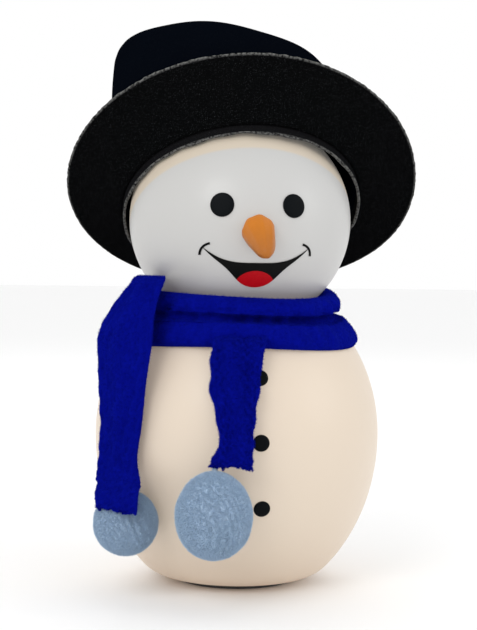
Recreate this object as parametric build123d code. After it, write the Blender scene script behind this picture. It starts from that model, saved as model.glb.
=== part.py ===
from build123d import *
import math
import os

# A frosted snowman lamp that stands on a flat base and wears a felt hat and a fleece scarf.
# All sizes are in mm. +Z is up, the face looks along -Y, and the origin is the centre of the foot ring on the
# surface that the lamp stands on.

# --- driving dimensions --------------------------------------------------------------------------------------
wall = 2.0                  # moulded shells
slip = 0.05                 # gap between fixed pieces that touch on a curved face
clear = 0.5                 # gap round pieces that move

body_radius = 84.6
body_centre_z = 88.0        # height of the widest part
body_rise = 94.0            # semi-height of the body above its widest part
body_drop = 103.0           # semi-height below it, before the base cuts it flat
base_edge_radius = 24.0     # rounding between the body's side and its flat underside
shell_bottom_z = 3.0

head_radius = 66.0
head_semi_height = 63.9
head_centre_z = 215.1
neck_z = 167.7              # where the two shells meet
neck_bore = 39.5

foot_ring_outer, foot_ring_inner, foot_height = 33.5, 28.2, 1.0
plate_radius, plate_rim = 34.5, 2.0
spigot_radius, spigot_height = 29.7, 1.5
cap_radius, cap_thickness = 19.4, 3.0
screw_circle = 25.2
switch_travel = 3.5

cell_radius, cell_length = 7.15, 49.0
holder_inner, holder_outer, holder_top_z = 16.5, 18.5, 62.0
board_radius, board_z, board_thickness = 24.0, 70.0, 1.6

felt = 2.0
hat_radius = 72.0
hat_tilt = 39.0             # how far the opening is tipped back from level
seam_centre = Vector(2.5, 13.0, 225.8)
lip_depth = 7.5
brim_width = 38.5
crown_top_centre = Vector(-5.0, 56.0, 313.0)
crown_top_normal = Vector(0.15, 0.30, 0.94)
crown_top_radius = 70.0

fleece = 5.6                # thickness of a hanging scarf tail, nap included

OUT = "parts"
os.makedirs(OUT, exist_ok=True)
nodes = {}


def radial_plane(azimuth):
    """Upright plane through the axis: local X points out at this azimuth, local Y points up."""
    outward = Vector(-math.sin(math.radians(azimuth)), -math.cos(math.radians(azimuth)), 0)
    return Plane(origin=(0, 0, 0), x_dir=outward, z_dir=outward.cross(Vector(0, 0, 1)))


def disc(radius, low, high, centre=(0, 0), hole=0.0):
    """An upright cylinder from low to high, with an optional hole along it."""
    solid = Pos(centre[0], centre[1], (low + high) / 2) * Cylinder(radius, high - low)
    if hole:
        solid -= Pos(centre[0], centre[1], (low + high) / 2) * Cylinder(hole, 2 * (high - low))
    return solid


def turned(points):
    """Spin a closed outline of (radius, height) points about Z."""
    return revolve(Plane.XZ * make_face(Polyline(*points, close=True)), Axis.Z)


def ellipse_arc(centre_z, radius, rise, start, end, spans=10):
    """Smooth arc of an upright ellipse on the axis, from one angle to another, in degrees from level."""
    angles = [math.radians(start + (end - start) * i / spans) for i in range(spans + 1)]
    points = [(radius * math.cos(a), centre_z + rise * math.sin(a)) for a in angles]
    ways = [(-radius * math.sin(a), rise * math.cos(a)) for a in (angles[0], angles[-1])]
    return Spline(*points, tangents=ways)


# --- the two lit shells --------------------------------------------------------------------------------------
def body_outline(inset, top_z):
    """Half outline of the body, moved in by inset: flat base, rounded edge, lower and upper ellipse arcs."""
    radius, rise, drop = body_radius - inset, body_rise - inset, body_drop - inset
    edge_radius = base_edge_radius - inset
    floor_z = shell_bottom_z + inset
    low, high = 0.0, math.pi / 2
    for _ in range(50):                 # find where the edge rounding leaves the ellipse
        angle = (low + high) / 2
        normal = Vector(math.cos(angle) / radius, -math.sin(angle) / drop).normalized()
        touch = Vector(radius * math.cos(angle), body_centre_z - drop * math.sin(angle))
        centre = touch - normal * edge_radius
        if centre.Y > floor_z + edge_radius:
            low = angle
        else:
            high = angle
    half_turn = (math.atan2(normal.Y, normal.X) - math.pi / 2) / 2
    middle = centre + Vector(math.cos(half_turn), math.sin(half_turn)) * edge_radius
    lower = ellipse_arc(body_centre_z, radius, drop, -math.degrees(angle), 0)
    top_angle = math.degrees(math.asin((top_z - body_centre_z) / rise))
    upper = ellipse_arc(body_centre_z, radius, rise, 0, top_angle)
    edge = ThreePointArc((centre.X, floor_z), middle, lower @ 0)
    base = Line((0, floor_z), (centre.X, floor_z))
    shoulder = Line(upper @ 1, (0, top_z))
    axis_line = Line((0, top_z), (0, floor_z))
    return make_face([base, edge, lower, upper, shoulder, axis_line])


def head_outline(inset, bottom_z):
    """Half outline of the head from a level cut at bottom_z to its crown."""
    radius, rise = head_radius - inset, head_semi_height - inset
    bottom_angle = math.degrees(math.asin((bottom_z - head_centre_z) / rise))
    side = ellipse_arc(head_centre_z, radius, rise, bottom_angle, 90)
    cut = Line((0, bottom_z), side @ 0)
    axis_line = Line(side @ 1, (0, bottom_z))
    return make_face([cut, side, axis_line])


def spun(outline):
    return revolve(Plane.XZ * outline, Axis.Z)


def opening(radius, low, high):
    """Half outline of a round hole on the axis."""
    return Pos(radius / 2, (low + high) / 2) * Rectangle(radius, high - low)


nose_root = Vector(0, -65.3, 208.2)
nose_droop = math.radians(22)
nose_axis = Vector(0, -math.cos(nose_droop), -math.sin(nose_droop))
nose_plane = Plane(origin=nose_root, x_dir=(1, 0, 0), z_dir=nose_axis)
peg_radius, peg_hole = 3.9, 4.0

body_section = body_outline(0, neck_z) - body_outline(wall, neck_z - wall)
body_section -= opening(neck_bore, neck_z - 6, neck_z + 1)
body_section -= opening(spigot_radius + 0.2, 0, shell_bottom_z + wall + 1)
nodes["body_shell"] = spun(body_section)

head_bottom = neck_z + slip
head_section = head_outline(0, head_bottom) - head_outline(wall, head_bottom + wall)
head_section -= opening(neck_bore, head_bottom - 1, head_bottom + 4)
nodes["head_shell"] = spun(head_section) - nose_plane * Pos(0, 0, -4) * Cylinder(peg_hole, 12)

nodes["neck_collar"] = disc(neck_bore - slip, neck_z - 9, neck_z + 9, hole=neck_bore - 2.4)

# --- nose, eyes, printed mouth and buttons -------------------------------------------------------------------
head_form = spun(head_outline(-slip, head_bottom))
body_form = spun(body_outline(-slip, neck_z))

nose_radius, nose_length = 9.0, 31.0
nose_points = ((nose_radius, 0), (6.9, 14), (3.6, 25.5), (2.2, 29.6), (0, nose_length))
nose_side = Spline(*nose_points, tangents=((-0.1, 1), (-1, 0)))
nose_back = Polyline((0, nose_length), (0, -6), (nose_radius, -6), (nose_radius, 0))
carrot = spun(make_face([nose_side, *nose_back.edges()]))
peg = Pos(0, 0, -3.5) * Cylinder(peg_radius, 13)
nodes["nose"] = (nose_plane * carrot - head_form) + nose_plane * peg
nodes["nose_washer"] = nose_plane * Pos(0, 0, -5.6) * (Cylinder(7.5, 1.2) - Cylinder(peg_hole, 3))

eye_radius, eye_side, eye_z, eye_thickness = 6.85, 20.4, 223.3, 1.0
sink = 3.0                  # how far a disc is drawn behind the surface before its back is cut to the curve
eye_rise = eye_z - head_centre_z
eye_depth = math.sqrt(head_radius**2 * (1 - (eye_rise / head_semi_height) ** 2) - eye_side**2)
for name, side in (("eye_left", -1), ("eye_right", 1)):
    facing = Vector(side * eye_side, -eye_depth, eye_rise * (head_radius / head_semi_height) ** 2)
    seat = Plane(origin=(side * eye_side, -eye_depth, eye_z), z_dir=facing)
    nodes[name] = seat * disc(eye_radius, -sink, eye_thickness) - head_form

upper_lip_half = [(0, 190.9), (13.0, 191.4), (20.5, 193.4), (26.5, 196.6), (30.5, 199.4)]
lower_lip_half = [
    (0, 176.9), (8.0, 179.2), (13.2, 184.0), (17.8, 188.4), (22.4, 192.0), (27.4, 196.2), (30.5, 199.4)]


def lip_line(half):
    """A lip from corner to corner, mirrored about the middle of the face."""
    return Spline(*[(-x, z) for x, z in half[:0:-1]], *half)


mouth = make_face([lip_line(upper_lip_half), lip_line(lower_lip_half)])
dimples = Sketch()
for side in (-1, 1):
    tick = Spline((side * 26.6, 201.6), (side * 30.6, 199.3), (side * 31.8, 195.0))
    dimples += trace(tick, 1.3)
tongue = mouth & (Pos(0, 177.6) * Ellipse(11.6, 8.8))
print_thickness = 0.3
print_low = head_centre_z - 0.9 * head_semi_height
print_layer = spun(head_outline(-slip - print_thickness, print_low) - head_outline(-slip, print_low))
nodes["mouth_print"] = print_layer & extrude(Plane.XZ * (mouth - tongue + dimples), 90)
nodes["tongue_print"] = print_layer & extrude(Plane.XZ * tongue, 90)

button_radius, button_thickness = 4.7, 1.0
coat_buttons = (
    ("coat_button_top", 0.0, 127.3),
    ("coat_button_middle", 0.0, 91.8),
    ("coat_button_bottom", 1.8, 54.5),
)
for name, side, height in coat_buttons:
    rise = height - body_centre_z
    semi_height = body_rise if rise > 0 else body_drop
    depth = math.sqrt(body_radius**2 * (1 - (rise / semi_height) ** 2) - side**2)
    facing = Vector(side, -depth, rise * (body_radius / semi_height) ** 2)
    seat = Plane(origin=(side, -depth, height), z_dir=facing)
    nodes[name] = seat * disc(button_radius, -sink, button_thickness) - body_form

# --- base: foot ring, plate, screws, battery holder and cap --------------------------------------------------
plate_low = foot_height
plate_high = plate_low + plate_rim
plate_top = plate_high + spigot_height
nodes["foot_ring"] = disc(foot_ring_outer, 0, foot_height, hole=foot_ring_inner)

screw_places = [Rot(0, 0, 120 * i + 30) * Pos(screw_circle, 0, 0) for i in range(3)]
lug_angle, lug_turn = 26.0, 40.0
switch_y = 24.8
base_plate = disc(plate_radius, plate_low, plate_high) + disc(spigot_radius, plate_high, plate_top)
base_plate -= disc(cap_radius + clear, 0, plate_top + 1)
lug_notch = Pos(cap_radius + 1.3, 0, plate_top / 2) * Box(3.4, 8, 9)
for side in (0, 180):
    base_plate -= Rot(0, 0, side + lug_angle + lug_turn) * lug_notch
base_plate -= Pos(switch_travel / 2, switch_y, plate_low) * Box(switch_travel + 4.0, 3.4, 9)
for place in screw_places:
    base_plate -= place * Pos(0, 0, plate_low) * Cylinder(2.8, 3.2)
    base_plate -= place * Pos(0, 0, plate_high) * Cylinder(1.6, 9)
nodes["base_plate"] = base_plate

screw = disc(2.5, plate_low + 0.3, plate_low + 1.6) + disc(1.4, plate_low + 1.6, plate_top + 5.5)
for slot in (Box(0.7, 3.6, 1.2), Box(3.6, 0.7, 1.2)):
    screw -= Pos(0, 0, plate_low + 0.3) * slot
nodes["base_screws"] = Compound(children=[place * screw for place in screw_places])

cap_space = cap_radius + 2.6            # room for the cap's lugs to turn above the plate
flange_outer, roof_low = 28.4, plate_top + 3.4
holder = turned([
    (cap_space, plate_top), (flange_outer, plate_top), (flange_outer, plate_top + 2),
    (cap_space + 1.4, plate_top + 2), (cap_space + 1.4, roof_low + 1.4), (holder_outer, roof_low + 1.4),
    (holder_outer, holder_top_z), (3.0, holder_top_z), (3.0, holder_top_z - 2),
    (holder_inner, holder_top_z - 2), (holder_inner, roof_low), (cap_space, roof_low)])
for place in screw_places:
    holder += place * disc(2.9, plate_top, plate_top + 5.5)
    holder -= place * Pos(0, 0, plate_top + 3) * Cylinder(1.45, 8)
switch_size = (13.0, 5.6, 4.6)
switch_place = Pos(switch_travel / 2, switch_y, plate_top)
holder -= switch_place * Box(switch_size[0] + 0.6, switch_size[1] + 0.6, 20)
holder = max(holder.solids(), key=lambda piece: piece.volume)
nodes["battery_holder"] = holder

cap_low, cap_high = plate_low, plate_low + cap_thickness
battery_cap = disc(cap_radius, cap_low, cap_high) + disc(cap_radius - 3, cap_high, plate_top + 0.3)
battery_cap += disc(cap_radius, plate_top + 0.3, plate_top + 2.0) - disc(cap_radius - 2.4, 0, 20)
battery_cap += disc(cap_radius, cap_high, plate_top + 0.4) - disc(cap_radius - 2.4, 0, 20)
for side in (0, 180):
    lug = Pos(cap_radius + 0.2, 0, plate_top + 1.2) * Box(4.0, 6.4, 1.6)
    battery_cap += Rot(0, 0, side + lug_angle) * lug
battery_cap -= Pos(0, 0, cap_low) * Box(17, 2.4, 2.4)
nodes["battery_cap"] = battery_cap

cells_at = [Rot(0, 0, 120 * i + 90) * Pos(cell_radius / math.sin(math.pi / 3) + 0.1, 0, 0) for i in range(3)]
cells_low = plate_top + 4.6
cells_high = cells_low + cell_length
contact_low = plate_top + 0.3
nodes["cap_contact_plate"] = disc(cap_radius - 2.6, contact_low, contact_low + 0.4)
cell = disc(cell_radius, cells_low, cells_high) + disc(2.6, cells_high, cells_high + 1.2)
nodes["battery_cells"] = Compound(children=[at * cell for at in cells_at])

leaf_thickness, leaf_width, leaf_half_span = 0.3, 4.0, 5.0
leaf_low, leaf_high = contact_low + 0.4, cells_low - 0.1
leaf_face = make_face([
    ThreePointArc((-leaf_half_span, 0), (0, leaf_high - leaf_low), (leaf_half_span, 0)),
    Line((leaf_half_span, 0), (leaf_half_span - leaf_thickness, 0)),
    ThreePointArc((leaf_half_span - leaf_thickness, 0), (0, leaf_high - leaf_low - leaf_thickness),
                  (leaf_thickness - leaf_half_span, 0)),
    Line((leaf_thickness - leaf_half_span, 0), (-leaf_half_span, 0))])
leaf = Pos(0, 0, leaf_low) * extrude(Plane.XZ * leaf_face, leaf_width / 2, both=True)
springs = [at * leaf for at in cells_at]
nodes["battery_springs"] = Compound(children=springs)
nodes["top_contact_plate"] = disc(holder_inner - 0.1, cells_high + 1.3, cells_high + 1.7)

# --- switch, lamp board and wiring ---------------------------------------------------------------------------
housing = switch_place * Pos(0, 0, switch_size[2] / 2) * Box(*switch_size)
housing -= switch_place * Pos(0, 0, 0.9) * Box(switch_travel + 5.4, 3.4, 3.0)
nodes["switch_housing"] = housing
knob = Pos(0, switch_y, plate_low + 2.2) * Box(2.6, 2.4, 3.6)
knob += Pos(0, switch_y, plate_top + 1.0) * Box(4.2, 2.4, 1.6)
for ridge in (-0.8, 0.8):
    knob -= Pos(ridge, switch_y, plate_low + 0.4) * Box(0.4, 3, 0.5)
nodes["switch_knob"] = knob

nodes["lamp_post"] = disc(7.0, holder_top_z, board_z, hole=5.0)
board_high = board_z + board_thickness
board = disc(board_radius, board_z, board_high)
board_screws_at = [Rot(0, 0, 180 * i) * Pos(6.0, 0, 0) for i in range(2)]
for at in board_screws_at:
    board -= at * disc(0.75, board_z - 1, board_high + 1)
wire_places = [(0.0, 22.0), (3.2, 22.0)]
for x, y in wire_places:
    board -= disc(0.95, board_z - 1, board_high + 1, centre=(x, y))
nodes["lamp_board"] = board
board_screw = disc(1.5, board_high, board_high + 1.0) + disc(0.7, board_z - 1.0, board_high)
nodes["board_screws"] = Compound(children=[at * board_screw for at in board_screws_at])
post_screw_holes = [at * disc(0.75, board_z - 3, board_z + 1) for at in board_screws_at]
nodes["lamp_post"] -= post_screw_holes

led_radius = 2.5
led = disc(led_radius + 0.4, board_high, board_high + 1.0) + disc(led_radius, board_high + 1.0, board_high + 5.5)
led += Pos(0, 0, board_high + 5.5) * Sphere(led_radius)
nodes["leds"] = Compound(children=[Rot(0, 0, 60 * i + 30) * Pos(15, 0, 0) * led for i in range(6)])
reflector_low = board_z - 0.1
nodes["reflector"] = turned([
    (7.2, reflector_low - 1.2), (24.6, reflector_low - 1.2), (28.6, reflector_low + 6),
    (27.5, reflector_low + 6), (24.3, reflector_low), (7.2, reflector_low)])
reflector_slot = Pos(1.6, 22.0, reflector_low) * Box(6.4, 3.0, 4)
nodes["reflector"] -= reflector_slot

wire_radius = 0.8
switch_top = plate_top + switch_size[2]
leads = []
for (x, y), start_x in zip(wire_places, (0.2, 3.4)):
    corners = (start_x, switch_y, switch_top), (start_x, switch_y, 30), (x, y, 46), (x, y, board_high)
    route = FilletPolyline(*corners, radius=12)
    leads.append(sweep(Plane(origin=route @ 0, z_dir=route % 0) * Circle(wire_radius), path=route))
nodes["lead_wires"] = Compound(children=leads)

# --- hat ------------------------------------------------------------------------------------------------------
tilt = math.radians(hat_tilt)
hat_axis = Vector(0, math.sin(tilt), math.cos(tilt))
hat_front = Vector(0, -math.cos(tilt), math.sin(tilt))
hat_side = Vector(1, 0, 0)


def seam_plane(offset):
    """Plane across the hat's opening, offset along the hat's axis from the brim seam."""
    return Plane(origin=seam_centre + hat_axis * offset, x_dir=hat_side, z_dir=hat_axis)


def crown_plane(offset):
    top_normal = crown_top_normal.normalized()
    return Plane(origin=crown_top_centre + top_normal * offset, x_dir=hat_side, z_dir=top_normal)


def crown_solid(inset, low, high):
    low_ring = seam_plane(low) * Circle(hat_radius - inset)
    high_ring = crown_plane(high) * Circle(crown_top_radius - inset)
    return loft([low_ring, high_ring], ruled=True)


brim_turn_up = 34           # degrees out of the seam plane
brim_front_lift = 18        # degrees more at the front
brim_sag = 22               # degrees less where it sags
brim_sag_angle = math.radians(105)


def brim_flip(angle):
    """The turn-up out of the seam plane: lifted at the front, with a broad sag on the +X side."""
    forward = (1 + math.cos(angle)) / 2
    near_sag = (1 + math.cos(angle - brim_sag_angle)) / 2
    return math.radians(brim_turn_up + brim_front_lift * forward**2 - brim_sag * near_sag**6)


def brim_ring(reach, offset, count=24):
    """Closed curve round the hat, this far out along the turned-up brim."""
    points = []
    for i in range(count):
        angle = 2 * math.pi * i / count
        flip = brim_flip(angle)
        outward = hat_front * math.cos(angle) + hat_side * math.sin(angle)
        along = outward * math.cos(flip) + hat_axis * math.sin(flip)
        across = hat_axis * math.cos(flip) - outward * math.sin(flip)
        root = seam_centre + outward * (hat_radius + felt / 2 + 0.3)
        points.append(root + along * reach + across * offset)
    return Edge.make_spline(points, periodic=True)


nodes["hat_crown"] = crown_solid(0, 0, 0) - crown_solid(felt, -0.4, 0.4)
nodes["hat_crown_top"] = extrude(crown_plane(slip) * Circle(crown_top_radius), felt)
lip = seam_plane(-lip_depth) * Circle(hat_radius - 0.2) - seam_plane(-lip_depth) * Circle(hat_radius - felt)
nodes["hat_lip_band"] = extrude(lip, lip_depth - slip)
stuffing_depth, stuffing_radius = 24.0, 54.0
stuffing = extrude(crown_plane(-slip - stuffing_depth) * Circle(stuffing_radius), stuffing_depth)
nodes["crown_stuffing"] = fillet(stuffing.edges().filter_by(GeomType.CIRCLE), 8)

rings = {(reach, side): brim_ring(reach, side * felt / 2) for reach in (0, brim_width) for side in (-1, 1)}
brim_faces = [
    Face.make_surface_from_curves(rings[0, -1], rings[brim_width, -1]),
    Face.make_surface_from_curves(rings[0, 1], rings[brim_width, 1]),
    Face.make_surface_from_curves(rings[0, -1], rings[0, 1]),
    Face.make_surface_from_curves(rings[brim_width, -1], rings[brim_width, 1])]
nodes["hat_brim"] = Solid(Shell(brim_faces))

# --- scarf ----------------------------------------------------------------------------------------------------
wrap_lower = Pos(60.5, 154.6) * Rot(0, 0, -51) * Ellipse(14.5, 7.6)
wrap_upper = Pos(54.0, 169.6) * Rot(0, 0, -20) * Ellipse(9.5, 6.6)
wrap_section = wrap_lower + wrap_upper - body_outline(-0.2, neck_z + 0.2) - head_outline(-0.2, neck_z - 0.2)
wrap_section = max(wrap_section.faces(), key=lambda piece: piece.area)
nodes["scarf_wrap"] = spun(wrap_section)

centre_tail_azimuth, centre_tail_width = 11.0, 28.0
centre_tail_points = ((96.4, 80.6), (92.2, 90.0), (86.8, 104.0), (80.1, 122.0), (70.9, 141.0))
left_tail_azimuth, left_tail_width = 50.0, 33.0
left_tail_points = ((86.4, 64.6), (86.4, 88.0), (85.0, 116.0), (79.2, 148.0), (72.0, 168.0))
left_tail_shift = 8.5       # the left tail's middle line lies this far round from its plane


def hanging_strip(plane, inner_points, width, shift=0.0):
    """A strip of fleece, from (distance, height) points up its inner face, with a rounded knuckle on top."""
    inner = Spline(*inner_points)
    outer = Pos(fleece, 0) * inner
    side = make_face([inner, outer, Line(inner @ 1, outer @ 1), Line(outer @ 0, inner @ 0)])
    knuckle = ((inner @ 1) + (outer @ 1)) / 2
    side += Pos(knuckle.X, knuckle.Y) * Circle(fleece / 2)
    return extrude(plane * Pos(0, 0, shift) * side, width / 2, both=True)


centre_plane = radial_plane(centre_tail_azimuth)
left_plane = radial_plane(left_tail_azimuth)
nodes["scarf_tail_centre"] = hanging_strip(centre_plane, centre_tail_points, centre_tail_width)
nodes["scarf_tail_left"] = hanging_strip(left_plane, left_tail_points, left_tail_width, left_tail_shift)

tie_radius, tie_length = 1.6, 8.0


def pompom(plane, out, along, centre_z, radius, semi_height, tail_end):
    """A pompom at this distance from the axis, and the yarn tie that joins it to the end of its tail."""
    half = ellipse_arc(0, radius, semi_height, -90, 90)
    ball = revolve(Plane.XZ * make_face([half, Line(half @ 1, half @ 0)]), Axis.Z)
    sideways = plane.z_dir * along
    ball = Pos(plane.x_dir * out + sideways + Vector(0, 0, centre_z)) * ball
    end_out, end_z = tail_end
    knot = plane.x_dir * (end_out + 0.7 * fleece) + sideways + Vector(0, 0, end_z - tie_radius - 0.1)
    tie = Pos(knot) * (Sphere(tie_radius) + Pos(0, 0, -tie_length / 2) * Cylinder(tie_radius, tie_length))
    tie -= scale(ball, 1.002)
    return ball, max(tie.solids(), key=lambda piece: piece.center().Z)


nodes["pompom_left"], nodes["pompom_tie_left"] = pompom(
    left_plane, 96.2, -2.0, 45.0, 18.0, 18.4, left_tail_points[0])
nodes["pompom_centre"], nodes["pompom_tie_centre"] = pompom(
    centre_plane, 103.6, 8.6, 54.4, 21.0, 24.2, centre_tail_points[0])

for name, solid in nodes.items():
    export_step(solid, f"{OUT}/{name}.step")
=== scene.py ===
import math

import bmesh
import bpy
import numpy as np
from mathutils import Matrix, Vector


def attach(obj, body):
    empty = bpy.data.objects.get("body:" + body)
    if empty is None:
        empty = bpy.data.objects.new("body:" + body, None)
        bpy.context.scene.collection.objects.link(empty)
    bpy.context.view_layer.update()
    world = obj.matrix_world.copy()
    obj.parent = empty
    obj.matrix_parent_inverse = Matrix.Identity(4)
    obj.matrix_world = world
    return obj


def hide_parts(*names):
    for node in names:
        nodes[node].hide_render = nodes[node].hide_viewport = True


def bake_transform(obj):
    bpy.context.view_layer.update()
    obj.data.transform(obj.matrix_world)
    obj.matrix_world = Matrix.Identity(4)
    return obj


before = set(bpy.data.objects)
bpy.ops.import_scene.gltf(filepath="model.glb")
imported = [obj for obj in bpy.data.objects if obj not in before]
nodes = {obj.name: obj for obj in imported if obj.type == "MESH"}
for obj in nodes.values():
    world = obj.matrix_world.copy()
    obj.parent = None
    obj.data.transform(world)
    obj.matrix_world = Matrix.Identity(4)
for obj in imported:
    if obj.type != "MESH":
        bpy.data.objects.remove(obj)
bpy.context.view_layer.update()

# --- the table and the lamps ------------------------------------------------------------------------------
# A pale table top under a plain white surround, one broad soft lamp from the front left, a weaker one from the
# right and one from above and behind. The camera stands a metre off, a little to the snowman's right, and looks
# slightly down.
bpy.context.scene.view_settings.view_transform = "Standard"
surround = bpy.data.worlds.new("surround")
bpy.context.scene.world = surround
surround.use_nodes = True
surround.node_tree.nodes["Background"].inputs["Color"].default_value = (1.0, 1.0, 1.0, 1)
surround.node_tree.nodes["Background"].inputs["Strength"].default_value = 1.0

table_mesh = bpy.data.meshes.new("table_top")
table_mesh.from_pydata([(-6, -6, 0), (6, -6, 0), (6, 6, 0), (-6, 6, 0)], [], [(0, 1, 2, 3)])
table_top = bpy.data.objects.new("table_top", table_mesh)
bpy.context.scene.collection.objects.link(table_top)
table_white = bpy.data.materials.new("table_white")
table_white.use_nodes = True
table_white.node_tree.nodes["Principled BSDF"].inputs["Base Color"].default_value = (0.93, 0.93, 0.93, 1)
table_white.node_tree.nodes["Principled BSDF"].inputs["Roughness"].default_value = 0.7
table_top.data.materials.append(table_white)

lamps = (
    ("front_lamp", (-0.9, -1.3, 1.1), 0.9, 8.0),
    ("side_lamp", (1.4, -0.7, 0.7), 0.9, 3.0),
    ("back_lamp", (0.2, 1.3, 1.3), 1.2, 3.0),
)
for name, place, size, power in lamps:
    lamp = bpy.data.lights.new(name, "AREA")
    lamp.shape, lamp.size, lamp.energy = "DISK", size, power
    stand = bpy.data.objects.new(name, lamp)
    stand.location = place
    stand.rotation_euler = (Vector((0, 0, 0.17)) - Vector(place)).to_track_quat("-Z", "Y").to_euler()
    bpy.context.scene.collection.objects.link(stand)

camera_azimuth, camera_range, camera_height, aim_height = math.radians(-9.3), 1.0, 0.204, 0.1587
camera_place = Vector((math.sin(camera_azimuth) * camera_range, -math.cos(camera_azimuth) * camera_range,
                       camera_height))
camera_roll = math.radians(0.9)
camera = bpy.data.objects.new("camera", bpy.data.cameras.new("camera"))
camera.data.lens = 95.3
camera.location = camera_place
sight = (Vector((0, 0, aim_height)) - camera_place).to_track_quat("-Z", "Y").to_matrix()
camera.rotation_euler = (sight @ sight.Rotation(camera_roll, 3, "Z")).to_euler()
bpy.context.scene.collection.objects.link(camera)
bpy.context.scene.camera = camera


# --- body and head ----------------------------------------------------------------------------------------
# Two blown shells of frosted white plastic, 2 mm thick, lit from inside. The body is an egg cut flat at its
# base, the head is a ball cut where it meets the body, and both are open at the neck round a joining collar.
class Value:
    """An output socket of a finish. Arithmetic on it adds Math nodes."""

    def __init__(self, finish, socket):
        self.finish, self.socket = finish, socket

    def maths(self, operation, *values):
        return self.finish.node("ShaderNodeMath", {"operation": operation}, dict(enumerate(values)))

    def __add__(self, other):
        return self.maths("ADD", self, other)

    def __mul__(self, other):
        return self.maths("MULTIPLY", self, other)

    def __sub__(self, other):
        return self.maths("SUBTRACT", self, other)

    def __rsub__(self, other):
        return self.maths("SUBTRACT", other, self)

    def above(self, low, high):
        """0 below low, 1 above high, and a smooth rise between."""
        return self.finish.node(
            "ShaderNodeMapRange", {"interpolation_type": "SMOOTHSTEP"},
            {"Value": self, "From Min": low, "From Max": high})

    __radd__, __rmul__ = __add__, __mul__


class Finish:
    """A node material for one kind of surface. What is the same all over goes straight on its sockets."""

    def __init__(self, name, **sockets):
        self.material = bpy.data.materials.new(name)
        self.material.use_nodes = True
        self.tree = self.material.node_tree
        self.shader = self.tree.nodes["Principled BSDF"]
        self.where = self.node("ShaderNodeTexCoord", output="Object")
        self.wear(**sockets)

    def node(self, kind, settings=None, inputs=None, output=0):
        """Adds a node: first its settings, then the values or links of its sockets."""
        made = self.tree.nodes.new(kind)
        for key, value in (settings or {}).items():
            setattr(made, key, value)
        for key, value in (inputs or {}).items():
            self.fill(made.inputs[key], value)
        return Value(self, made.outputs[output])

    def fill(self, socket, value):
        if isinstance(value, Value):
            self.tree.links.new(value.socket, socket)
        elif socket.type == "RGBA" and len(value) == 3:
            socket.default_value = (*value, 1)
        else:
            socket.default_value = value

    def wear(self, **sockets):
        """Sets or links the shader's sockets: wear(base_color=..., sheen_weight=...)."""
        for key, value in sockets.items():
            name = key.replace("_", " ").title().replace("Ior", "IOR")
            self.fill(self.shader.inputs[name], value)

    def noise(self, scale, detail=2.0, roughness=0.5, stretch=None):
        """Soft noise from 0 to 1 over the piece; scale is in lumps per metre, stretch squeezes it per axis."""
        where = self.where
        if stretch:
            where = self.node("ShaderNodeMapping", {}, {"Vector": where, "Scale": stretch})
        return self.node("ShaderNodeTexNoise", {},
                         {"Vector": where, "Scale": scale, "Detail": detail, "Roughness": roughness})

    def mark(self, name):
        """A value stored on the piece's own points."""
        return self.node("ShaderNodeAttribute", {"attribute_name": name}, output="Fac")

    def mix(self, share, a, b):
        """Colour a where share is 0, colour b where it is 1."""
        return self.node("ShaderNodeMix", {"data_type": "RGBA"}, {0: share, 6: a, 7: b}, output=2)

    def bump(self, height, depth, strength=1.0):
        """Raises the surface by up to depth metres where height is 1."""
        relief = {"Strength": strength, "Distance": depth, "Height": height}
        self.wear(normal=self.node("ShaderNodeBump", {}, relief))

    def axis(self, index):
        """One coordinate of the place on the piece, in metres."""
        return self.node("ShaderNodeSeparateXYZ", {}, {0: self.where}, output=index)


def surface(name, grid, finish, loop_rows=False, loop_columns=False, marks=None):
    """A mesh over a grid of points in mm, shape (rows, columns, 3). A looped side joins its last line to its
    first. Lines that shrink to a point are merged there, and all faces are turned outwards."""
    rows, columns = grid.shape[:2]
    index = np.arange(rows * columns).reshape(rows, columns)
    if loop_rows:
        index = np.vstack([index, index[:1]])
    if loop_columns:
        index = np.hstack([index, index[:, :1]])
    quads = np.stack([index[:-1, :-1], index[1:, :-1], index[1:, 1:], index[:-1, 1:]], axis=-1).reshape(-1, 4)
    mesh = bpy.data.meshes.new(name)
    mesh.from_pydata((grid.reshape(-1, 3) * 0.001).tolist(), [], quads.tolist())
    for key, values in (marks or {}).items():
        layer = mesh.attributes.new(key, "FLOAT", "POINT")
        layer.data.foreach_set("value", np.broadcast_to(values, (rows, columns)).astype(np.float32).ravel())
    work = bmesh.new()
    work.from_mesh(mesh)
    bmesh.ops.remove_doubles(work, verts=work.verts, dist=2e-6)
    bmesh.ops.dissolve_degenerate(work, edges=work.edges, dist=1e-7)
    bmesh.ops.recalc_face_normals(work, faces=work.faces)
    work.to_mesh(mesh)
    work.free()
    mesh.polygons.foreach_set("use_smooth", [True] * len(mesh.polygons))
    mesh.materials.append(finish.material)
    piece = bpy.data.objects.new(name, mesh)
    bpy.context.scene.collection.objects.link(piece)
    return piece


def turned(profile, around=192):
    """Spins (radius, height) points about the upright axis: x = r sin a, y = -r cos a, z = h."""
    angle = np.linspace(0, 2 * np.pi, around, endpoint=False)[None, :]
    radius, height = profile[:, :1], profile[:, 1:]
    return np.stack([radius * np.sin(angle), -radius * np.cos(angle), height + 0 * angle], axis=-1)


body_radius, body_middle, body_rise, body_drop, base_rounding, body_floor = 84.6, 88.0, 94.0, 103.0, 24.0, 3.0
head_radius, head_rise, head_middle = 66.0, 63.9, 215.1
neck_height, neck_opening, neck_gap, base_opening, shell_wall = 167.7, 39.5, 0.05, 29.9, 2.0
hat_tilt = math.radians(39)


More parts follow.
